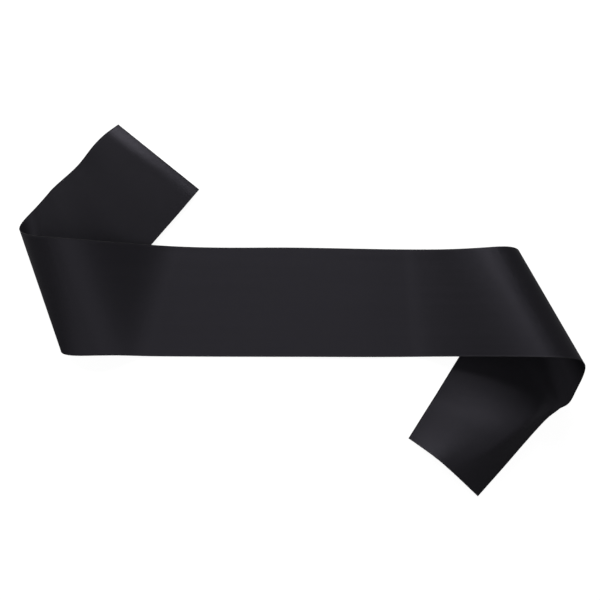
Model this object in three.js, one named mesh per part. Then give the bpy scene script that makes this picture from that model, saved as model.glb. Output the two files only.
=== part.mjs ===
// Satin sash: one strip of black satin ribbon, laid on its back on a table.
// The middle lies flat with its glossy face up. At each end the ribbon lifts off the table, rolls over
// in a soft fold and comes out underneath as a short tail, reverse side up.
// Millimetres, +Z up, +X along the middle band. The long edges keep the names they have on that band:
// the back edge is on +Y and the front edge on -Y, all the way to both cut ends.
import * as THREE from 'three';

// Driving dimensions
const RIBBON_WIDTH = 96;
const WALL = 1; // cloth, as a rigid wall
const SEAM_GAP = 0.3; // between two stretches
const FACET_LENGTH = 7; // longest facet along the ribbon
const FACETS_ACROSS = 12;
const ROLL_STEPS = 14; // sections round one fold
const HOLLOW_PLACE = 0.4; // where a hollow cut end is deepest, as a share of the width from the back edge
const RIDGE_ROUND = 0.4; // how round the top of an arch is, as a share of one side

const REST = WALL / 2; // height of the wall's middle where it lies on the table
const HALF = RIBBON_WIDTH / 2;

// The folds. A fold is a roll about an axis across the ribbon, and one row sizes each end of it.
//   nose   the point furthest out, as [x, y]
//   reach  how far inside the nose the roll's crest lies
//   radius half of the roll's height there
//   under  height of the roll's underside
//   creepIn, creepOut  how far an edge slides along the roll, for each millimetre that it goes round,
//                      before and after the nose
const FOLDS = {
  left: {
    back: { nose: [-243, 64], reach: 32, radius: 19, under: REST, creepIn: 0.485, creepOut: 0.6 },
    front: { nose: [-210, -43], reach: 28, radius: 4.5, under: REST, creepIn: 0.48, creepOut: 0.45 },
  },
  right: {
    back: { nose: [191, 43.5], reach: 25, radius: 14, under: 1, creepIn: 0.578, creepOut: 0.54 },
    front: { nose: [244, -54], reach: 25, radius: 19, under: 12, creepIn: 0.66, creepOut: 0.75 },
  },
};

// The straight stretches. A row is one section across the ribbon, from its back edge to its front edge.
//   arch    rise of the section's ridge above the line between its edges
//   ridge   where that ridge lies, as a share of the width from the back edge
//   hollow  how far the section's middle draws back from the cut end
const FLAT = { arch: 0, ridge: 0.5, hollow: 0 };
const LEFT_TAIL = [
  { at: 'cut end', back: [-160.5, 156.7, REST], front: [-89.3, 99.5, REST], ...FLAT },
  { at: 'crown', back: [-172, 147, 5], front: [-97, 90, 3], ...FLAT },
  { at: 'bend', back: [-197, 119, 2], front: [-142, 38, 1.5], ...FLAT },
  { at: 'turn out', back: [-217.5, 101, REST], front: [-174, -1, REST], ...FLAT },
];
const BAND = [
  { at: 'left foot', back: [-106, HALF + 1, REST], front: [-127, 0.5 - HALF, REST], ...FLAT },
  { at: 'middle', back: [0, HALF, REST], front: [0, -HALF, REST], ...FLAT },
  { at: 'right foot', back: [90, HALF - 1.5, REST], front: [98, -HALF, REST], ...FLAT },
];
const RIGHT_TAIL = [
  { at: 'underside', back: [165, -8, REST], front: [226.5, -93.5, 9], arch: 4, ridge: 0.8, hollow: 0 },
  { at: 'landing', back: [134, -59, REST], front: [214, -105, 5], arch: 13, ridge: 0.84, hollow: 0 },
  { at: 'flare', back: [116, -88, REST], front: [187, -137, REST], arch: 21, ridge: 0.72, hollow: 1.5 },
  { at: 'cut end', back: [96, -120, REST], front: [157, -171, REST], arch: 19, ridge: 0.47, hollow: 2.8 },
];

// Sections round a fold, from the roll's crest to its underside.
// side is -1 for the left fold, where edges creep towards the back, and 1 for the right one.
function foldSections(fold, side) {
  const backNose = new THREE.Vector2(...fold.back.nose);
  const frontNose = new THREE.Vector2(...fold.front.nose);
  const along = frontNose.clone().sub(backNose).normalize();
  const outward = new THREE.Vector2(-along.y, along.x).multiplyScalar(side);

  const edgePoint = (end, turn) => {
    const past = turn - Math.PI / 2;
    const reach = past < 0 ? end.reach : end.radius;
    const slide = past < 0 ? end.creepIn : end.creepOut;
    const creep = slide * ((reach + end.radius) / 2) * past * side;
    const plan = new THREE.Vector2(...end.nose)
      .addScaledVector(outward, reach * (Math.sin(turn) - 1))
      .addScaledVector(along, creep);
    return [plan.x, plan.y, end.under + end.radius * (1 + Math.cos(turn))];
  };

  return Array.from({ length: ROLL_STEPS + 1 }, (_, step) => {
    const turn = (Math.PI * step) / ROLL_STEPS;
    return { ...FLAT, back: edgePoint(fold.back, turn), front: edgePoint(fold.front, turn) };
  });
}

const leftFold = foldSections(FOLDS.left, -1).reverse();
const rightFold = foldSections(FOLDS.right, 1);
const sections = [...LEFT_TAIL, ...leftFold, ...BAND, ...rightFold, ...RIGHT_TAIL];

// Distance of each section along the ribbon, measured down its middle
const middles = sections.map(({ back, front }) =>
  new THREE.Vector3(...back).add(new THREE.Vector3(...front)).multiplyScalar(0.5),
);
const stations = [0];
for (let i = 1; i < middles.length; i += 1) {
  stations.push(stations[i - 1] + middles[i].distanceTo(middles[i - 1]));
}

// A smooth curve through one value of every section. A level curve never swings past its own values,
// so cloth that lies on the table stays exactly on it.
function smoothCurve(values, level) {
  const spans = stations.slice(1).map((station, i) => station - stations[i]);
  const slopes = spans.map((span, i) => (values[i + 1] - values[i]) / span);
  const tangents = values.map((_, i) => {
    if (i === 0) return slopes[0];
    if (i === values.length - 1) return slopes[i - 1];
    const [before, after] = [slopes[i - 1], slopes[i]];
    if (!level) return (before * spans[i] + after * spans[i - 1]) / (spans[i - 1] + spans[i]);
    return before * after > 0 ? (2 * before * after) / (before + after) : 0;
  });
  return (station) => {
    let i = spans.length - 1;
    while (i > 0 && station < stations[i]) i -= 1;
    const t = (station - stations[i]) / spans[i];
    const rise = tangents[i] * spans[i];
    const fall = tangents[i + 1] * spans[i];
    const turn = values[i] - values[i + 1];
    return values[i] + t * (rise + t * (-3 * turn - 2 * rise - fall + t * (2 * turn + rise + fall)));
  };
}

const edgeCurves = (edge) => [0, 1, 2].map((axis) =>
  smoothCurve(sections.map((section) => section[edge][axis]), axis === 2),
);
const backCurves = edgeCurves('back');
const frontCurves = edgeCurves('front');
const archCurve = smoothCurve(sections.map(({ arch }) => arch), true);
const ridgeCurve = smoothCurve(sections.map(({ ridge }) => ridge), true);
const hollowCurve = smoothCurve(sections.map(({ hollow }) => hollow), true);

// A ridge over the width, with even sides and a round top: 0 at both edges and 1 at its peak
function hump(across, peak) {
  const fromPeak = across < peak ? (peak - across) / peak : (across - peak) / (1 - peak);
  const foot = Math.hypot(1, RIDGE_ROUND);
  return (foot - Math.hypot(fromPeak, RIDGE_ROUND)) / (foot - RIDGE_ROUND);
}

// A point of the wall's middle surface. across runs from 0 at the back edge to 1 at the front edge.
function clothPoint(station, across) {
  const at = (curves) => new THREE.Vector3(...curves.map((curve) => curve(station)));
  const back = at(backCurves);
  const front = at(frontCurves);
  const point = back.clone().lerp(front, across);
  const onwards = new THREE.Vector3(back.y - front.y, front.x - back.x, 0).normalize();
  point.addScaledVector(onwards, hollowCurve(station) * hump(across, HOLLOW_PLACE));
  point.z += archCurve(station) * hump(across, ridgeCurve(station));
  return point;
}

// The surface's directions at a point, from its neighbours a small step away
const STATION_STEP = 0.05;
const ACROSS_STEP = 0.01;
function clothFrame(station, across) {
  const forward = clothPoint(station + STATION_STEP, across)
    .sub(clothPoint(station - STATION_STEP, across))
    .normalize();
  const sideways = clothPoint(station, Math.max(across - ACROSS_STEP, 0))
    .sub(clothPoint(station, Math.min(across + ACROSS_STEP, 1)));
  return { forward, normal: forward.clone().cross(sideways).normalize() };
}

// A closed wall over one stretch of the ribbon, drawn back at each end by half of the gap there
function stretchGeometry(from, to, gapFrom, gapTo) {
  const knots = stations.filter((station) => station > from && station < to);
  const stops = [from, ...knots, to];
  const rows = [from];
  for (let i = 1; i < stops.length; i += 1) {
    const count = Math.ceil((stops[i] - stops[i - 1]) / FACET_LENGTH);
    for (let k = 1; k <= count; k += 1) rows.push(THREE.MathUtils.lerp(stops[i - 1], stops[i], k / count));
  }

  const positions = [];
  const perRow = FACETS_ACROSS + 1;
  for (const face of [1, -1]) {
    rows.forEach((station, row) => {
      let draw = 0;
      if (row === 0) draw = gapFrom / 2;
      if (row === rows.length - 1) draw = -gapTo / 2;
      for (let k = 0; k < perRow; k += 1) {
        const across = k / FACETS_ACROSS;
        const { forward, normal } = clothFrame(station, across);
        const point = clothPoint(station, across)
          .addScaledVector(forward, draw)
          .addScaledVector(normal, (face * WALL) / 2);
        positions.push(point.x, point.y, Math.max(point.z, 0));
      }
    });
  }

  const sheet = rows.length * perRow;
  const indices = [];
  const quad = (a, b, c, d) => indices.push(a, b, c, a, c, d);
  for (let row = 0; row + 1 < rows.length; row += 1) {
    for (let k = 0; k < FACETS_ACROSS; k += 1) {
      const a = row * perRow + k;
      const b = a + perRow;
      quad(a, a + 1, b + 1, b);
      quad(sheet + a, sheet + b, sheet + b + 1, sheet + a + 1);
    }
    const back = row * perRow;
    const front = back + FACETS_ACROSS;
    quad(back, back + perRow, sheet + back + perRow, sheet + back);
    quad(front, sheet + front, sheet + front + perRow, front + perRow);
  }
  const lastRow = sheet - perRow;
  for (let k = 0; k < FACETS_ACROSS; k += 1) {
    quad(k, sheet + k, sheet + k + 1, k + 1);
    quad(lastRow + k, lastRow + k + 1, sheet + lastRow + k + 1, sheet + lastRow + k);
  }

  const geometry = new THREE.BufferGeometry();
  geometry.setAttribute('position', new THREE.Float32BufferAttribute(positions, 3));
  geometry.setIndex(indices);
  geometry.computeVertexNormals();
  return geometry;
}

// The woven face is glossier than the reverse, which is what shows on the tails
const FACE = { color: 0x2a292d, roughness: 0.4, metalness: 0 };
const REVERSE = { color: 0x242327, roughness: 0.5, metalness: 0 };

// Where one stretch ends and the next begins
const bandStart = LEFT_TAIL.length + leftFold.length;
const bandEnd = bandStart + BAND.length - 1;
const seamLeftTail = stations[LEFT_TAIL.length];
const seamLeftFold = stations[bandStart];
const seamRightFold = stations[bandEnd];
const seamRightTail = stations[bandEnd + rightFold.length];
const end = stations[stations.length - 1];

const STRETCHES = [
  { name: 'left_tail', from: 0, to: seamLeftTail, finish: REVERSE },
  { name: 'left_fold', from: seamLeftTail, to: seamLeftFold, finish: FACE },
  { name: 'front_band', from: seamLeftFold, to: seamRightFold, finish: FACE },
  { name: 'right_fold', from: seamRightFold, to: seamRightTail, finish: FACE },
  { name: 'right_tail', from: seamRightTail, to: end, finish: REVERSE },
];

const sash = new THREE.Group();
for (const { name, from, to, finish } of STRETCHES) {
  const gapFrom = from > 0 ? SEAM_GAP : 0;
  const gapTo = to < end ? SEAM_GAP : 0;
  const geometry = stretchGeometry(from, to, gapFrom, gapTo);
  const mesh = new THREE.Mesh(geometry, new THREE.MeshStandardMaterial(finish));
  mesh.name = name;
  sash.add(mesh);
}

export default sash;
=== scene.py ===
# %% [markdown]
# # A black satin sash, laid on a table
# The sash is one strip of satin ribbon. Its middle lies flat with the glossy face up. At each end the
# ribbon lifts, rolls over in a soft fold and comes out underneath as a short tail that shows its duller
# reverse. The lesson builds the cloth as one thin shell, gives it woven edges and sealed ends, then weaves
# its two finishes out of shader nodes and lights it from behind.

# %% Load the frame
import math
from collections import namedtuple

import bpy
import numpy as np
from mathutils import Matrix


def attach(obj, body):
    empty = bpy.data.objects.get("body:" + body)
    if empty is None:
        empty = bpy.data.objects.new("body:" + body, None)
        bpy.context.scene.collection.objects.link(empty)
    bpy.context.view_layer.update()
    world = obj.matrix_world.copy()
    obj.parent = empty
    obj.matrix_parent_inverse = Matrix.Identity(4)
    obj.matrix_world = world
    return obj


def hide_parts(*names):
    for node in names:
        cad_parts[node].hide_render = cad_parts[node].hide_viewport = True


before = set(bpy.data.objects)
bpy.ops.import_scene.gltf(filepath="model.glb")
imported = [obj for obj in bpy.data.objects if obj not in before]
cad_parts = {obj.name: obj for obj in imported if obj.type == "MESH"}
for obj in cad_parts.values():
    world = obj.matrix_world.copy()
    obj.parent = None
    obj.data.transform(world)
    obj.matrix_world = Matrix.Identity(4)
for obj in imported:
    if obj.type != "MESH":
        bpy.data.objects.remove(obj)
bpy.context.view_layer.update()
MM = 0.001
print("nodes:", sorted(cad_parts))

# %% [markdown]
# ## Where the eye is
# The sash is seen from straight above, so the camera hangs over the table and looks down. It could be
# turned with a tracking constraint, but a camera that is not turned at all already looks along -Z with +Y
# upwards in the picture. Its lens follows from two real sizes: how high it hangs, and how wide a stretch
# of table fills the picture.

# %% Camera
EYE_HEIGHT = 1000 * MM
EYE_FORWARD = 2 * MM
TABLE_SEEN = 529.8 * MM

camera = bpy.data.objects.new("camera", bpy.data.cameras.new("camera"))
camera.location = (0, EYE_FORWARD, EYE_HEIGHT)
camera.data.lens = camera.data.sensor_width * EYE_HEIGHT / TABLE_SEEN
camera.data.clip_start = 10 * MM
bpy.context.scene.collection.objects.link(camera)
bpy.context.scene.camera = camera
print("lens:", round(camera.data.lens, 2), "mm")

# %% [markdown]
# ## The way the ribbon lies
# A ribbon only bends; it does not stretch. Its lie is given by a few sections across it, each a line from
# the back edge to the front edge, and a fold is a roll about an axis across the ribbon. A curve object
# with a flat profile could follow such a path, but it would twist the cloth at the folds. Lofting between
# the listed sections keeps both edges where the real ones lie. Sizes are in millimetres.

# %% Sections of the straight stretches
CLOTH = 0.4  # thickness of the satin
REST = 0.5  # height of the frame's wall, at its middle, where it lies on the table
HALF = 48  # half of the ribbon's width

# back, front: where the section's two ends lie; arch: height of the ridge between them
# ridge: where the ridge peaks, as a share of the width; hollow: how far its line bows back into the cloth
Section = namedtuple("Section", "at back front arch ridge hollow", defaults=(0.0, 0.5, 0.0))
LEFT_TAIL = [
    Section("cut end", (-160.5, 156.7, REST), (-89.3, 99.5, REST)),
    Section("crown", (-172, 147, 5), (-97, 90, 3)),
    Section("bend", (-197, 119, 2), (-142, 38, 1.5)),
    Section("turn out", (-217.5, 101, REST), (-174, -1, REST)),
]
BAND = [
    Section("left foot", (-106, HALF + 1, REST), (-127, 0.5 - HALF, REST)),
    Section("middle", (0, HALF, REST), (0, -HALF, REST)),
    Section("right foot", (90, HALF - 1.5, REST), (98, -HALF, REST)),
]
RIGHT_TAIL = [
    Section("underside", (165, -8, REST), (226.5, -93.5, 9), arch=4, ridge=0.8),
    Section("landing", (134, -59, REST), (214, -105, 5), arch=13, ridge=0.84),
    Section("flare", (116, -88, REST), (187, -137, REST), arch=21, ridge=0.72, hollow=1.5),
    Section("cut end", (96, -120, REST), (157, -171, REST), arch=19, ridge=0.47, hollow=2.8),
]
print("placed by hand:", [s.at for s in LEFT_TAIL + BAND + RIGHT_TAIL])

# %% Sections round the folds
# nose: the point furthest out; reach: how far inside it the crest lies; radius: half of the roll's height
# under: height of its underside; creep: how far an edge slides along the roll as it goes round
ROLL_STEPS = 14
RollEnd = namedtuple("RollEnd", "nose reach radius under creep_in creep_out")
LEFT_ROLL = (
    RollEnd((-243, 64), 32, 19, REST, 0.485, 0.6),
    RollEnd((-210, -43), 28, 4.5, REST, 0.48, 0.45),
)
RIGHT_ROLL = (
    RollEnd((191, 43.5), 25, 14, 1, 0.578, 0.54),
    RollEnd((244, -54), 25, 19, 12, 0.66, 0.75),
)


def roll_sections(back_end, front_end, side):
    """Sections from the roll's crest to its underside. side is -1 at the left, 1 at the right."""
    axis = np.subtract(front_end.nose, back_end.nose)
    along = axis / np.linalg.norm(axis)
    outward = np.array((-along[1], along[0])) * side

    def edge_point(end, turn):
        past = turn - math.pi / 2
        reach, slide = (end.reach, end.creep_in) if past < 0 else (end.radius, end.creep_out)
        creep = slide * (reach + end.radius) / 2 * past * side
        plan = end.nose + outward * reach * (math.sin(turn) - 1) + along * creep
        return (*plan, end.under + end.radius * (1 + math.cos(turn)))

    turns = np.linspace(0, math.pi, ROLL_STEPS + 1)
    return [Section("roll", edge_point(back_end, t), edge_point(front_end, t)) for t in turns]


left_roll = roll_sections(*LEFT_ROLL, side=-1)[::-1]
right_roll = roll_sections(*RIGHT_ROLL, side=1)
sections = [*LEFT_TAIL, *left_roll, *BAND, *right_roll, *RIGHT_TAIL]
middles = np.array([np.add(s.back, s.front) / 2 for s in sections])
stations = np.concatenate(([0], np.cumsum(np.linalg.norm(np.diff(middles, axis=0), axis=1))))
LENGTH = stations[-1]
print("sections:", len(sections), " ribbon length:", round(LENGTH, 1), "mm")


# %% [markdown]
# ## From sections to a surface
# Each value of the sections becomes a smooth curve along the ribbon. Plain cubic curves swing a little past
# their points, which would push flat cloth through the table, so heights use slopes that fade to nothing
# at every high and low point.

# %% Smooth curves along the ribbon
def smooth_curve(values, level=False):
    values = np.asarray(values, float)
    spans = np.diff(stations)
    slopes = np.diff(values) / spans
    before, after = slopes[:-1], slopes[1:]
    if level:
        same_way = before * after > 0
        inner = np.where(same_way, 2 * before * after / np.where(same_way, before + after, 1), 0)
    else:
        inner = (before * spans[1:] + after * spans[:-1]) / (spans[:-1] + spans[1:])
    tangents = np.concatenate((slopes[:1], inner, slopes[-1:]))

    def curve(station):
        i = np.clip(np.searchsorted(stations, station, side="right") - 1, 0, len(spans) - 1)
        t = (station - stations[i]) / spans[i]
        rise, fall = tangents[i] * spans[i], tangents[i + 1] * spans[i]
        turn = values[i] - values[i + 1]
        return values[i] + t * (rise + t * (-3 * turn - 2 * rise - fall + t * (2 * turn + rise + fall)))

    return curve


def edge_curve(edge):
    points = np.array([getattr(s, edge) for s in sections], float)
    curves = [smooth_curve(points[:, axis], level=axis == 2) for axis in range(3)]
    return lambda station: np.stack([curve(station) for curve in curves], axis=-1)


back_edge, front_edge = edge_curve("back"), edge_curve("front")
arch, ridge, hollow = (
    smooth_curve([getattr(s, name) for s in sections], level=True) for name in ("arch", "ridge", "hollow")
)
print("tallest arch:", max(s.arch for s in sections), "mm")

# %% The lie of the cloth
HOLLOW_PLACE = 0.4  # where a hollow cut end is deepest, as a share of the width from the back edge
RIDGE_ROUND = 0.4  # how round the top of an arch is, as a share of one side


def hump(across, peak):
    """A ridge over the width, with even sides and a round top: 0 at both edges and 1 at its peak."""
    from_peak = np.where(across < peak, (peak - across) / peak, (across - peak) / (1 - peak))
    foot = math.hypot(1, RIDGE_ROUND)
    return (foot - np.hypot(from_peak, RIDGE_ROUND)) / (foot - RIDGE_ROUND)


def lie(station, across):
    """The cloth's middle: a row of points for each station, a column for each share of the width."""
    back, front = back_edge(station[:, None]), front_edge(station[:, None])
    points = back + (front - back) * across[None, :, None]
    chord = (front - back)[..., :2]
    onwards = np.stack((-chord[..., 1], chord[..., 0]), axis=-1)
    onwards /= np.linalg.norm(onwards, axis=-1, keepdims=True)
    drawn = hollow(station)[:, None] * hump(across, HOLLOW_PLACE)[None, :]
    points[..., :2] += onwards * drawn[..., None]
    points[..., 2] += arch(station)[:, None] * hump(across[None, :], ridge(station)[:, None])
    return points


band_middle = lie(stations[[len(LEFT_TAIL) + len(left_roll) + 1]], np.array([0.5]))
print("middle of the band:", band_middle.round(1).tolist())

# %% [markdown]
# ## Soft creases
# Satin off a reel keeps long, shallow waves across its width, and it puckers a little where a roll gathers
# it. Sculpting or a cloth simulation could give such waves, but their places would be left to chance.
# Here each one is a row of a table: a soft swelling at a distance along the ribbon, leaning as it crosses,
# with its own length and depth. The cloth rests on the table, so a wave that lies flat only rises.

# %% Table of creases
# at: distance along the back edge; lean: how much further along it is at the front edge
# near, far: shares of the width between which it runs; run_up, run_down: its half widths
# rise: height towards the glossy face, which is underneath on the tails
Crease = namedtuple("Crease", "place at lean near far run_up run_down rise")
CREASES = [
    Crease("band, long swell", 446, 4, -0.4, 1.4, 75, 30, 1.2),
    Crease("band, second swell", 338, -14, -0.5, 1.2, 34, 42, 0.5),
    Crease("band, by the left foot", 300, -20, 0.1, 1.4, 16, 14, 0.25),
    Crease("left roll, front pucker", 205, 4, 0.5, 1.5, 7, 9, 0.25),
    Crease("left roll, back dimple", 188, -6, -0.5, 0.5, 9, 12, -0.35),
    Crease("right roll, dimple", 604, 6, 0.1, 0.9, 12, 10, -0.3),
    Crease("left tail, broad swell", 60, 6, -0.3, 1.4, 36, 26, -1.6),
    Crease("left tail, dent by the end", 17, -3, 0.3, 1.0, 8, 9, 0.45),
    Crease("left tail, outer swell", 34, 6, 0.2, 1.3, 10, 12, -0.35),
    Crease("right tail, valley", 756, -8, -0.4, 0.5, 12, 10, 0.3),
]


def crease_rise(station, across):
    rise = np.zeros((len(station), len(across)))
    for crease in CREASES:
        past = station[:, None] - crease.at - crease.lean * across[None, :]
        bell = np.exp(-((past / np.where(past < 0, crease.run_up, crease.run_down)) ** 2))
        share = np.clip((across - crease.near) / (crease.far - crease.near), 0, 1)
        rise += crease.rise * bell * np.sin(math.pi * share)[None, :]
    return rise


print("creases:", len(CREASES), " highest:", max(abs(crease.rise) for crease in CREASES), "mm")

# %% [markdown]
# ## The cloth
# A Solidify modifier could thicken a sheet, but the two sides of satin differ, so the shell is made
# directly: one sheet of points for the face, one for the reverse, and a narrow rim between them. Columns
# crowd at the long edges so that the woven edge has its own points. The UV map is the cloth before it was
# laid, in real metres, along and across, and both satin finishes below follow it.

# %% Points of the cloth
STEP_ALONG = 1.25
STEP_ACROSS = 2.2
WIDTH = 2 * HALF
SELVEDGE = 1.2  # width of the woven edge

inner_columns = np.linspace(SELVEDGE, WIDTH - SELVEDGE, round(WIDTH / STEP_ACROSS))
edge_columns = [0, SELVEDGE / 3]
columns = np.concatenate((edge_columns, inner_columns, WIDTH - np.flip(edge_columns))) / WIDTH
rows = np.linspace(0, LENGTH, round(LENGTH / STEP_ALONG) + 1)


def cloth_normals(points):
    forward = np.gradient(points, rows, axis=0)
    to_back = -np.gradient(points, columns, axis=1)
    normals = np.cross(forward, to_back)
    return normals / np.linalg.norm(normals, axis=-1, keepdims=True)


smooth_lie = lie(rows, columns)
middle = smooth_lie + cloth_normals(smooth_lie) * crease_rise(rows, columns)[..., None]
middle[..., 2] -= REST - CLOTH / 2
normals = cloth_normals(middle)
print("rows:", len(rows), " columns:", len(columns))


# %% Shell of the ribbon
def add_object(name, mesh):
    piece = bpy.data.objects.new(name, mesh)
    bpy.context.scene.collection.objects.link(piece)
    return piece


def sheet_at(offset):
    """The cloth's points, moved out by offset, with none below the table."""
    points = middle + normals * offset
    points[..., 2] = np.maximum(points[..., 2], 0)
    return points.reshape(-1, 3) * MM


def shell_quads(n_rows, n_columns):
    sheet = n_rows * n_columns
    index = np.arange(sheet).reshape(n_rows, n_columns)
    face = np.stack((index[:-1, :-1], index[:-1, 1:], index[1:, 1:], index[1:, :-1]), axis=-1)
    face = face.reshape(-1, 4)
    loop = np.concatenate((index[:-1, 0], index[-1, :-1], index[:0:-1, -1], index[0, :0:-1]))
    ahead = np.roll(loop, -1)
    rim = np.stack((loop, ahead, ahead + sheet, loop + sheet), axis=-1)
    return face, face[:, ::-1] + sheet, rim


quads = shell_quads(len(rows), len(columns))
vertices = np.concatenate((sheet_at(CLOTH / 2), sheet_at(-CLOTH / 2)))
ribbon_mesh = bpy.data.meshes.new("sash_ribbon")
ribbon_mesh.from_pydata(vertices.tolist(), [], np.concatenate(quads).tolist())
ribbon = add_object("sash_ribbon", ribbon_mesh)
print("ribbon faces:", len(ribbon_mesh.polygons), " repaired:", ribbon_mesh.validate())

# %% Cloth coordinates and sides
flat_points = np.stack(np.meshgrid(rows, columns * WIDTH, indexing="ij"), axis=-1).reshape(-1, 2) * MM
corner_vertices = np.empty(len(ribbon_mesh.loops), dtype=np.int32)
ribbon_mesh.loops.foreach_get("vertex_index", corner_vertices)
corner_places = np.tile(flat_points, (2, 1))[corner_vertices]
ribbon_mesh.uv_layers.new(name="cloth").uv.foreach_set("vector", corner_places.astype(np.float32).ravel())

FACE_SLOT, REVERSE_SLOT = 0, 1
RIM_ANGLE = math.radians(50)  # the shell's rim is sharp, and every bend of the cloth is smooth
slots = np.repeat((FACE_SLOT, REVERSE_SLOT, REVERSE_SLOT), [len(part) for part in quads])
ribbon_mesh.polygons.foreach_set("material_index", slots.astype(np.int32))
ribbon_mesh.polygons.foreach_set("use_smooth", np.ones(len(slots), dtype=bool))
ribbon_mesh.set_sharp_from_angle(angle=RIM_ANGLE)
patches = np.cross(np.gradient(middle, axis=0), np.gradient(middle, axis=1))
cloth_area = np.linalg.norm(patches, axis=-1).sum()
print("cloth laid:", round(cloth_area * MM * MM, 4), "square metres")

# %% [markdown]
# ## Woven edges
# Ribbon is woven to its width: at both long edges the weft thread turns round the outermost warp and goes
# back in, so the edge is a row of tiny tight turns. A swept tube would look like piping. Geometry Nodes
# set one small bead of thread at every turn along the edge instead, so its pitch is a size that can be
# changed. The tree walks two plain lines of points, and its result becomes an ordinary mesh.

# %% A tree of geometry nodes with named sizes
def geometry_tree(name, sizes):
    tree = bpy.data.node_groups.new(name, "GeometryNodeTree")
    tree.interface.new_socket("Geometry", in_out="INPUT", socket_type="NodeSocketGeometry")
    for size in sizes:
        tree.interface.new_socket(size, in_out="INPUT", socket_type="NodeSocketFloat")
    tree.interface.new_socket("Material", in_out="INPUT", socket_type="NodeSocketMaterial")
    tree.interface.new_socket("Geometry", in_out="OUTPUT", socket_type="NodeSocketGeometry")
    return tree, tree.nodes.new("NodeGroupInput"), tree.nodes.new("NodeGroupOutput")


def chain(tree, *sockets):
    """Links sockets in pairs: the first output to the first input, and so on."""
    for output, goal in zip(sockets[::2], sockets[1::2]):
        tree.links.new(output, goal)


def finish_tree(tree, made, given, out):
    realize = tree.nodes.new("GeometryNodeRealizeInstances")
    paint = tree.nodes.new("GeometryNodeSetMaterial")
    chain(
        tree, made, realize.inputs["Geometry"], realize.outputs["Geometry"], paint.inputs["Geometry"],
        given.outputs["Material"], paint.inputs["Material"],
        paint.outputs["Geometry"], out.inputs["Geometry"],
    )


def grown_on(name, lines, tree, values):
    """Runs a tree on lines of points, in metres, and keeps the result as a plain mesh."""
    mesh = bpy.data.meshes.new(name + "_path")
    starts = np.cumsum([0] + [len(line) for line in lines[:-1]])
    edges = [(s + i, s + i + 1) for s, line in zip(starts, lines) for i in range(len(line) - 1)]
    mesh.from_pydata(np.concatenate(lines).tolist(), edges, [])
    path = add_object(name + "_path", mesh)
    modifier = path.modifiers.new(name, "NODES")
    modifier.node_group = tree
    for item in tree.interface.items_tree:
        if item.in_out == "INPUT" and item.name in values:
            modifier[item.identifier] = values[item.name]
    evaluated = path.evaluated_get(bpy.context.evaluated_depsgraph_get())
    grown = add_object(name, bpy.data.meshes.new_from_object(evaluated))
    grown.data.name = name
    bpy.data.objects.remove(path)
    print(name, "faces:", len(grown.data.polygons))
    return grown


# %% Beads at the turns of the weft
BEAD_SIDES, BEAD_RINGS = 6, 4


def weft_turn_tree():
    tree, given, out = geometry_tree("weft_turns", ["Pitch", "Thread Radius", "Bead Length"])
    to_curve = tree.nodes.new("GeometryNodeMeshToCurve")
    to_points = tree.nodes.new("GeometryNodeCurveToPoints")
    to_points.mode = "LENGTH"
    bead = tree.nodes.new("GeometryNodeMeshUVSphere")
    bead.inputs["Segments"].default_value = BEAD_SIDES
    bead.inputs["Rings"].default_value = BEAD_RINGS
    stretch = tree.nodes.new("ShaderNodeCombineXYZ")
    stretch.inputs["X"].default_value = stretch.inputs["Y"].default_value = 1
    smooth = tree.nodes.new("GeometryNodeSetShadeSmooth")
    place = tree.nodes.new("GeometryNodeInstanceOnPoints")
    chain(
        tree, given.outputs["Geometry"], to_curve.inputs["Mesh"],
        to_curve.outputs["Curve"], to_points.inputs["Curve"],
        given.outputs["Pitch"], to_points.inputs["Length"],
        given.outputs["Thread Radius"], bead.inputs["Radius"],
        given.outputs["Bead Length"], stretch.inputs["Z"],
        bead.outputs["Mesh"], smooth.inputs["Geometry"],
        smooth.outputs["Geometry"], place.inputs["Instance"],
        to_points.outputs["Points"], place.inputs["Points"],
        to_points.outputs["Rotation"], place.inputs["Rotation"],
        stretch.outputs["Vector"], place.inputs["Scale"],
    )
    finish_tree(tree, place.outputs["Instances"], given, out)
    return tree


weft_turns = weft_turn_tree()
print("tree:", weft_turns.name, " nodes:", len(weft_turns.nodes))

# %% [markdown]
# ## Sealed ends
# Satin ravels where it is cut, so the maker draws a hot blade across it and the threads melt into a thin
# hard bead. It is never quite even. Curve to Mesh sweeps a small ring along each end, and a seeded random
# radius gives the bead its lumps.

# %% Bead of melted thread
LUMP_SEED = 7
BEAD_CORNERS = 8


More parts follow.
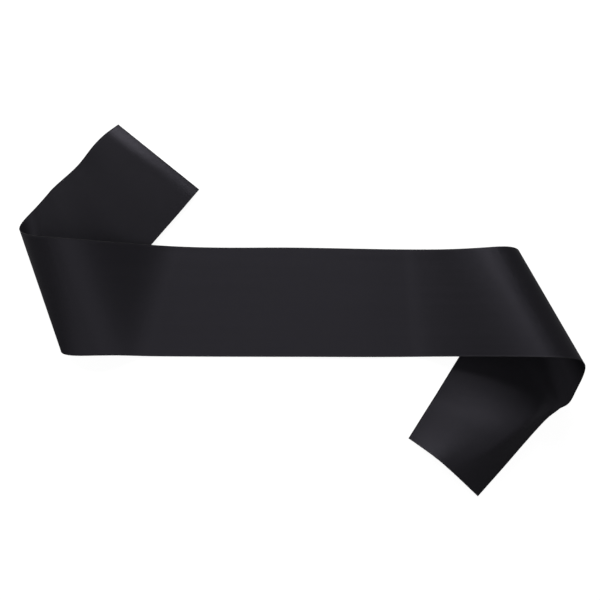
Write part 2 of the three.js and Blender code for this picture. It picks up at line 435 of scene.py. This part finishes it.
def sealed_end_tree():
    tree, given, out = geometry_tree("sealed_end", ["Spacing", "Thinnest", "Thickest"])
    to_curve = tree.nodes.new("GeometryNodeMeshToCurve")
    resample = tree.nodes.new("GeometryNodeResampleCurve")
    resample.mode = "LENGTH"
    lumps = tree.nodes.new("FunctionNodeRandomValue")
    lumps.data_type = "FLOAT"
    lumps.inputs["Seed"].default_value = LUMP_SEED
    radius = tree.nodes.new("GeometryNodeSetCurveRadius")
    ring = tree.nodes.new("GeometryNodeCurvePrimitiveCircle")
    ring.inputs["Resolution"].default_value = BEAD_CORNERS
    ring.inputs["Radius"].default_value = 1
    sweep = tree.nodes.new("GeometryNodeCurveToMesh")
    sweep.inputs["Fill Caps"].default_value = True
    read_radius = tree.nodes.new("GeometryNodeInputRadius")
    smooth = tree.nodes.new("GeometryNodeSetShadeSmooth")
    lowest, highest = [s for s in lumps.inputs if s.name in ("Min", "Max") and s.type == "VALUE"][:2]
    chain(
        tree, given.outputs["Geometry"], to_curve.inputs["Mesh"],
        to_curve.outputs["Curve"], resample.inputs["Curve"],
        given.outputs["Spacing"], resample.inputs["Length"],
        given.outputs["Thinnest"], lowest, given.outputs["Thickest"], highest,
        resample.outputs["Curve"], radius.inputs["Curve"],
        next(s for s in lumps.outputs if s.type == "VALUE"), radius.inputs["Radius"],
        radius.outputs["Curve"], sweep.inputs["Curve"],
        ring.outputs["Curve"], sweep.inputs["Profile Curve"],
        read_radius.outputs["Radius"], sweep.inputs["Scale"],
        sweep.outputs["Mesh"], smooth.inputs["Geometry"],
    )
    finish_tree(tree, smooth.outputs["Geometry"], given, out)
    return tree


sealed_end = sealed_end_tree()
print("tree:", sealed_end.name, " nodes:", len(sealed_end.nodes))

# %% [markdown]
# ## What satin is made of
# Satin looks smooth because its warp threads float over many wefts and dip under only one. Seen close, it
# is a field of fine lengthwise floats with small binding points that step across the cloth. A brick
# pattern gives just that when its rows are slid: each row is one warp and each brick one float. The
# pattern is read in cloth coordinates, so it bends with the ribbon, and it is a node group because both
# sides of the cloth use it with their own values.

# %% Helpers for shader nodes
def shader_group(name, inputs, outputs):
    group = bpy.data.node_groups.new(name, "ShaderNodeTree")
    for socket, kind in inputs:
        group.interface.new_socket(socket, in_out="INPUT", socket_type=kind)
    for socket in outputs:
        group.interface.new_socket(socket, in_out="OUTPUT", socket_type="NodeSocketFloat")
    return group, group.nodes.new("NodeGroupInput"), group.nodes.new("NodeGroupOutput")


def math_node(tree, operation, *values):
    """A Math node; each value is a number or a socket to link."""
    node = tree.nodes.new("ShaderNodeMath")
    node.operation = operation
    for socket, value in zip(node.inputs, values):
        if isinstance(value, bpy.types.NodeSocket):
            tree.links.new(value, socket)
        else:
            socket.default_value = value
    return node.outputs["Value"]


# %% Floats of the weave
VECTOR, FLOAT = "NodeSocketVector", "NodeSocketFloat"
SATIN_STEP = 0.4  # how far each float starts past its neighbour, as a share of its length
FLOAT_GAP = 0.16  # how far a float's rounded edge comes in, in widths of a warp


def satin_weave_group():
    group, given, out = shader_group(
        "satin_weave", [("Cloth", VECTOR), ("Warps per Metre", FLOAT), ("Float in Warps", FLOAT)], ["Height"]
    )
    scaled = group.nodes.new("ShaderNodeVectorMath")
    scaled.operation = "SCALE"
    parts = group.nodes.new("ShaderNodeSeparateXYZ")
    chain(
        group, given.outputs["Cloth"], scaled.inputs[0],
        given.outputs["Warps per Metre"], scaled.inputs["Scale"],
        scaled.outputs["Vector"], parts.inputs["Vector"],
    )
    step = math_node(group, "MULTIPLY", given.outputs["Float in Warps"], SATIN_STEP)
    slid = math_node(group, "MULTIPLY_ADD", parts.outputs["Y"], step, parts.outputs["X"])
    place = group.nodes.new("ShaderNodeCombineXYZ")
    brick = group.nodes.new("ShaderNodeTexBrick")
    brick.offset, brick.squash = 0, 1
    for socket, value in (
        ("Scale", 1), ("Mortar Size", FLOAT_GAP), ("Mortar Smooth", 1), ("Bias", 0), ("Row Height", 1),
    ):
        brick.inputs[socket].default_value = value
    chain(
        group, slid, place.inputs["X"], parts.outputs["Y"], place.inputs["Y"],
        place.outputs["Vector"], brick.inputs["Vector"],
        given.outputs["Float in Warps"], brick.inputs["Brick Width"],
    )
    group.links.new(math_node(group, "SUBTRACT", 1, brick.outputs["Fac"]), out.inputs["Height"])
    return group


SATIN_WEAVE = satin_weave_group()
print("group:", SATIN_WEAVE.name)

# %% [markdown]
# No length of ribbon is quite even. The warp comes off the beam a little tighter here and there, which
# leaves faint streaks along the cloth, and handling leaves it very slightly cockled. Two noises stretched
# in cloth coordinates give both, and the woven edges are found by their distance from the side.

# %% Streaks, cockle and the woven edge
STREAKS = {"along": 5, "across": 420, "detail": 3}  # waves to a metre each way, and finer layers
COCKLE = {"along": 38, "across": 30, "detail": 2}


def stretched_noise(group, cloth, along, across, detail):
    mapping = group.nodes.new("ShaderNodeMapping")
    mapping.inputs["Scale"].default_value = (along, across, 1)
    noise = group.nodes.new("ShaderNodeTexNoise")
    noise.inputs["Scale"].default_value = 1
    noise.inputs["Detail"].default_value = detail
    chain(group, cloth, mapping.inputs["Vector"], mapping.outputs["Vector"], noise.inputs["Vector"])
    return noise.outputs["Fac"]


def reel_marks_group():
    group, given, out = shader_group("reel_marks", [("Cloth", VECTOR)], ["Streaks", "Cockle", "Edge"])
    cloth = given.outputs["Cloth"]
    group.links.new(stretched_noise(group, cloth, **STREAKS), out.inputs["Streaks"])
    group.links.new(stretched_noise(group, cloth, **COCKLE), out.inputs["Cockle"])
    parts = group.nodes.new("ShaderNodeSeparateXYZ")
    group.links.new(cloth, parts.inputs["Vector"])
    across = parts.outputs["Y"]
    to_side = math_node(group, "MINIMUM", across, math_node(group, "SUBTRACT", WIDTH * MM, across))
    group.links.new(math_node(group, "LESS_THAN", to_side, SELVEDGE * MM), out.inputs["Edge"])
    return group


REEL_MARKS = reel_marks_group()
print("group:", REEL_MARKS.name)

# %% [markdown]
# ## The two sides of the cloth
# The face shows the long floats, so light slides along the ribbon in a soft sheen that is narrow along the
# threads and wide across them. That is what the anisotropic setting of the shader does, once its tangent
# is taken from the cloth's own coordinates and turned a quarter, across the threads. The reverse shows
# more weft: it is duller and a little blacker. The dye is nearly black with a trace of violet.

# %% Satin finish
SHEEN_TINT = (0.87, 0.83, 1.0)
SHEEN_STRETCH = 0.6  # how much wider the sheen is across the threads
QUARTER_TURN = 0.25
FUZZ_ROUGHNESS = 0.4
WARPS_PER_METRE = 6200
GLOSS_SPREAD = 0.05  # how far the streaks move the roughness either way
EDGE_DULLNESS = 0.12  # how much rougher the woven edge is
COCKLE_DEPTH, COCKLE_STRENGTH = 0.25, 0.5
THREAD_STRENGTH = 0.35


def satin(name, dye, streak_dye, roughness, specular, sheen, float_in_warps, weave_depth):
    material = bpy.data.materials.new(name)
    material.use_nodes = True
    tree = material.node_tree
    shader = tree.nodes["Principled BSDF"]
    for socket, value in (
        ("Specular IOR Level", specular), ("Specular Tint", (*SHEEN_TINT, 1)),
        ("Anisotropic", SHEEN_STRETCH), ("Anisotropic Rotation", QUARTER_TURN),
        ("Sheen Weight", sheen), ("Sheen Roughness", FUZZ_ROUGHNESS), ("Sheen Tint", (*SHEEN_TINT, 1)),
    ):
        shader.inputs[socket].default_value = value
    cloth = tree.nodes.new("ShaderNodeUVMap")
    cloth.uv_map = "cloth"
    tangent = tree.nodes.new("ShaderNodeTangent")
    tangent.direction_type, tangent.uv_map = "UV_MAP", "cloth"
    weave = tree.nodes.new("ShaderNodeGroup")
    weave.node_tree = SATIN_WEAVE
    weave.inputs["Warps per Metre"].default_value = WARPS_PER_METRE
    weave.inputs["Float in Warps"].default_value = float_in_warps
    marks = tree.nodes.new("ShaderNodeGroup")
    marks.node_tree = REEL_MARKS

    colour = tree.nodes.new("ShaderNodeMix")
    colour.data_type = "RGBA"
    first, second = [s for s in colour.inputs if s.type == "RGBA"]
    first.default_value, second.default_value = (*dye, 1), (*streak_dye, 1)
    gloss = tree.nodes.new("ShaderNodeMapRange")
    gloss.inputs["To Min"].default_value = roughness - GLOSS_SPREAD
    gloss.inputs["To Max"].default_value = roughness + GLOSS_SPREAD
    edge_gloss = math_node(
        tree, "MULTIPLY_ADD", marks.outputs["Edge"], EDGE_DULLNESS, gloss.outputs["Result"]
    )

    cockle = tree.nodes.new("ShaderNodeBump")
    cockle.inputs["Strength"].default_value = COCKLE_STRENGTH
    cockle.inputs["Distance"].default_value = COCKLE_DEPTH * MM
    threads = tree.nodes.new("ShaderNodeBump")
    threads.inputs["Strength"].default_value = THREAD_STRENGTH
    threads.inputs["Distance"].default_value = weave_depth * MM
    chain(
        tree, cloth.outputs["UV"], weave.inputs["Cloth"], cloth.outputs["UV"], marks.inputs["Cloth"],
        marks.outputs["Streaks"], colour.inputs["Factor"], marks.outputs["Streaks"], gloss.inputs["Value"],
        marks.outputs["Cockle"], cockle.inputs["Height"],
        cockle.outputs["Normal"], threads.inputs["Normal"],
        weave.outputs["Height"], threads.inputs["Height"],
        threads.outputs["Normal"], shader.inputs["Normal"],
        next(s for s in colour.outputs if s.type == "RGBA"), shader.inputs["Base Color"],
        edge_gloss, shader.inputs["Roughness"], tangent.outputs["Tangent"], shader.inputs["Tangent"],
    )
    return material


ribbon_mesh.materials.append(satin(
    "satin_face", dye=(0.0040, 0.0038, 0.0048), streak_dye=(0.0056, 0.0053, 0.0066),
    roughness=0.42, specular=0.5, sheen=0.02, float_in_warps=7, weave_depth=0.03,
))
ribbon_mesh.materials.append(satin(
    "satin_reverse", dye=(0.0034, 0.0033, 0.0040), streak_dye=(0.0046, 0.0044, 0.0053),
    roughness=0.5, specular=0.4, sheen=0.03, float_in_warps=2, weave_depth=0.04,
))
print("finishes:", [m.name for m in ribbon_mesh.materials])

# %% [markdown]
# The turned weft at the edges is bare thread, matt and fibrous. The sealed ends are the same polyester
# melted into a skin, so they are smoother and shine in places. Both read Object coordinates, because the
# beads have no cloth coordinates of their own.

# %% Thread and melted thread
THREAD_SPECULAR = 0.4
GRAIN_LAYERS = 2
GRAIN_STRENGTH = 0.4


def edge_finish(name, dye, light_dye, smoothest, roughest, grain, depth):
    material = bpy.data.materials.new(name)
    material.use_nodes = True
    tree = material.node_tree
    shader = tree.nodes["Principled BSDF"]
    shader.inputs["Specular IOR Level"].default_value = THREAD_SPECULAR
    place = tree.nodes.new("ShaderNodeTexCoord")
    noise = tree.nodes.new("ShaderNodeTexNoise")
    noise.inputs["Scale"].default_value = grain
    noise.inputs["Detail"].default_value = GRAIN_LAYERS
    colour = tree.nodes.new("ShaderNodeMix")
    colour.data_type = "RGBA"
    first, second = [s for s in colour.inputs if s.type == "RGBA"]
    first.default_value, second.default_value = (*dye, 1), (*light_dye, 1)
    gloss = tree.nodes.new("ShaderNodeMapRange")
    gloss.inputs["To Min"].default_value = smoothest
    gloss.inputs["To Max"].default_value = roughest
    bump = tree.nodes.new("ShaderNodeBump")
    bump.inputs["Strength"].default_value = GRAIN_STRENGTH
    bump.inputs["Distance"].default_value = depth * MM
    chain(
        tree, place.outputs["Object"], noise.inputs["Vector"], noise.outputs["Fac"], colour.inputs["Factor"],
        noise.outputs["Fac"], gloss.inputs["Value"], noise.outputs["Fac"], bump.inputs["Height"],
        next(s for s in colour.outputs if s.type == "RGBA"), shader.inputs["Base Color"],
        gloss.outputs["Result"], shader.inputs["Roughness"], bump.outputs["Normal"], shader.inputs["Normal"],
    )
    return material


edge_thread = edge_finish(
    "edge_thread", dye=(0.003, 0.003, 0.0036), light_dye=(0.007, 0.0066, 0.008),
    smoothest=0.5, roughest=0.7, grain=4000, depth=0.05,
)
melted_thread = edge_finish(
    "melted_thread", dye=(0.003, 0.003, 0.0034), light_dye=(0.006, 0.0058, 0.0068),
    smoothest=0.3, roughest=0.5, grain=900, depth=0.1,
)
print("edge finishes:", edge_thread.name, melted_thread.name)

# %% Edges and ends of the ribbon
THREAD_RADIUS = 0.3
TURN_PITCH = 0.62
BEAD_LENGTH = 1.3  # of a turn of weft, in its own widths
THINNEST_BEAD, THICKEST_BEAD = 0.22, 0.34
LUMP_SPACING = 0.8


def line_of(points, clear):
    """A line of cloth points in metres, kept clear of the table."""
    line = points.copy()
    line[:, 2] = np.maximum(line[:, 2], clear)
    return line * MM


long_edges = [line_of(middle[:, side], THREAD_RADIUS) for side in (0, -1)]
woven_edges = grown_on("woven_edges", long_edges, weft_turns, {
    "Pitch": TURN_PITCH * MM, "Thread Radius": THREAD_RADIUS * MM,
    "Bead Length": BEAD_LENGTH, "Material": edge_thread,
})
cut_lines = [line_of(middle[end], THICKEST_BEAD) for end in (0, -1)]
sealed_ends = grown_on("sealed_ends", cut_lines, sealed_end, {
    "Spacing": LUMP_SPACING * MM, "Thinnest": THINNEST_BEAD * MM,
    "Thickest": THICKEST_BEAD * MM, "Material": melted_thread,
})

# %% [markdown]
# ## The stage
# The sash lies on a plain white table. A floor that is white all round would throw light back at the cloth,
# rim its rolls and lift the dark of the folds. So the table is painted a dull grey, and it glows white
# towards the eye alone, which gives the cloth no extra light.

# %% White table
FLOOR_HALF = 6.0
FLOOR_DROP = 0.0002
TABLE_GLOW = 0.92
TABLE_GREY = (0.25, 0.25, 0.25)
TABLE_ROUGHNESS, TABLE_SPECULAR = 0.9, 0.1


def white_table():
    material = bpy.data.materials.new("white_table")
    material.use_nodes = True
    tree = material.node_tree
    shader = tree.nodes["Principled BSDF"]
    shader.inputs["Base Color"].default_value = (*TABLE_GREY, 1)
    shader.inputs["Roughness"].default_value = TABLE_ROUGHNESS
    shader.inputs["Specular IOR Level"].default_value = TABLE_SPECULAR
    glow = tree.nodes.new("ShaderNodeEmission")
    eye = tree.nodes.new("ShaderNodeLightPath")
    both = tree.nodes.new("ShaderNodeAddShader")
    chain(
        tree, math_node(tree, "MULTIPLY", eye.outputs["Is Camera Ray"], TABLE_GLOW), glow.inputs["Strength"],
        shader.outputs["BSDF"], both.inputs[0], glow.outputs["Emission"], both.inputs[1],
        both.outputs["Shader"], tree.nodes["Material Output"].inputs["Surface"],
    )
    return material


floor_mesh = bpy.data.meshes.new("table_top")
corners = [(x * FLOOR_HALF, y * FLOOR_HALF, -FLOOR_DROP) for x, y in ((-1, -1), (1, -1), (1, 1), (-1, 1))]
floor_mesh.from_pydata(corners, [], [(0, 1, 2, 3)])
floor_mesh.materials.append(white_table())
floor = add_object("table_top", floor_mesh)
print("table:", 2 * FLOOR_HALF, "metres square")

# %% [markdown]
# ## Light
# The sheen tells where the light comes from: slopes that face the back of the table are bright, slopes that
# face the front are dark, and the raised band shades the tail in front of it. So two soft boxes stand low
# behind the sash, one straight back and one to the left. Weak ones at the front and right and a broad panel
# overhead open the shadows, and the room adds a dim even light. The backdrop looks white to the eye alone.

# %% Soft boxes and the room
# bearing: degrees round from +X; from_zenith: degrees down from straight above; distance, size: metres
SoftBox = namedtuple("SoftBox", "name bearing from_zenith distance size watts")
SOFT_BOXES = [
    SoftBox("soft_box_back", 90, 66, 2.2, 0.9, 39),
    SoftBox("soft_box_back_left", 135, 71, 2.2, 0.5, 20),
    SoftBox("soft_box_front", 270, 75, 2.2, 0.8, 3),
    SoftBox("soft_box_right", 340, 79, 2.2, 0.8, 2),
    SoftBox("ceiling_panel", 270, 28, 2.0, 2.4, 7),
]
for box in SOFT_BOXES:
    bearing, tilt = math.radians(box.bearing), math.radians(box.from_zenith)
    lamp = bpy.data.lights.new(box.name, "AREA")
    lamp.size, lamp.energy = box.size, box.watts
    holder = add_object(box.name, lamp)
    holder.rotation_euler = (tilt, 0, bearing + math.pi / 2)
    holder.location = [
        box.distance * part
        for part in (math.sin(tilt) * math.cos(bearing), math.sin(tilt) * math.sin(bearing), math.cos(tilt))
    ]

ROOM_LIGHT = 0.13
world = bpy.data.worlds.new("room")
world.use_nodes = True
backdrop = world.node_tree.nodes["Background"]
backdrop.inputs["Color"].default_value = (1, 1, 1, 1)
eye_path = world.node_tree.nodes.new("ShaderNodeLightPath")
seen_or_dim = math_node(world.node_tree, "MAXIMUM", eye_path.outputs["Is Camera Ray"], ROOM_LIGHT)
world.node_tree.links.new(seen_or_dim, backdrop.inputs["Strength"])
bpy.context.scene.world = world
bpy.context.scene.view_settings.view_transform = "Standard"
print("soft boxes:", [box.name for box in SOFT_BOXES])

# %% [markdown]
# ## One body
# Every piece moves with the one body of the sash. The ribbon stands for all five stretches of the frame,
# whose own parts are hidden.

# %% Attach the pieces and hide the frame's parts
for piece in (ribbon, woven_edges, sealed_ends):
    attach(piece, "root")
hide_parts("left_tail", "left_fold", "front_band", "right_fold", "right_tail")
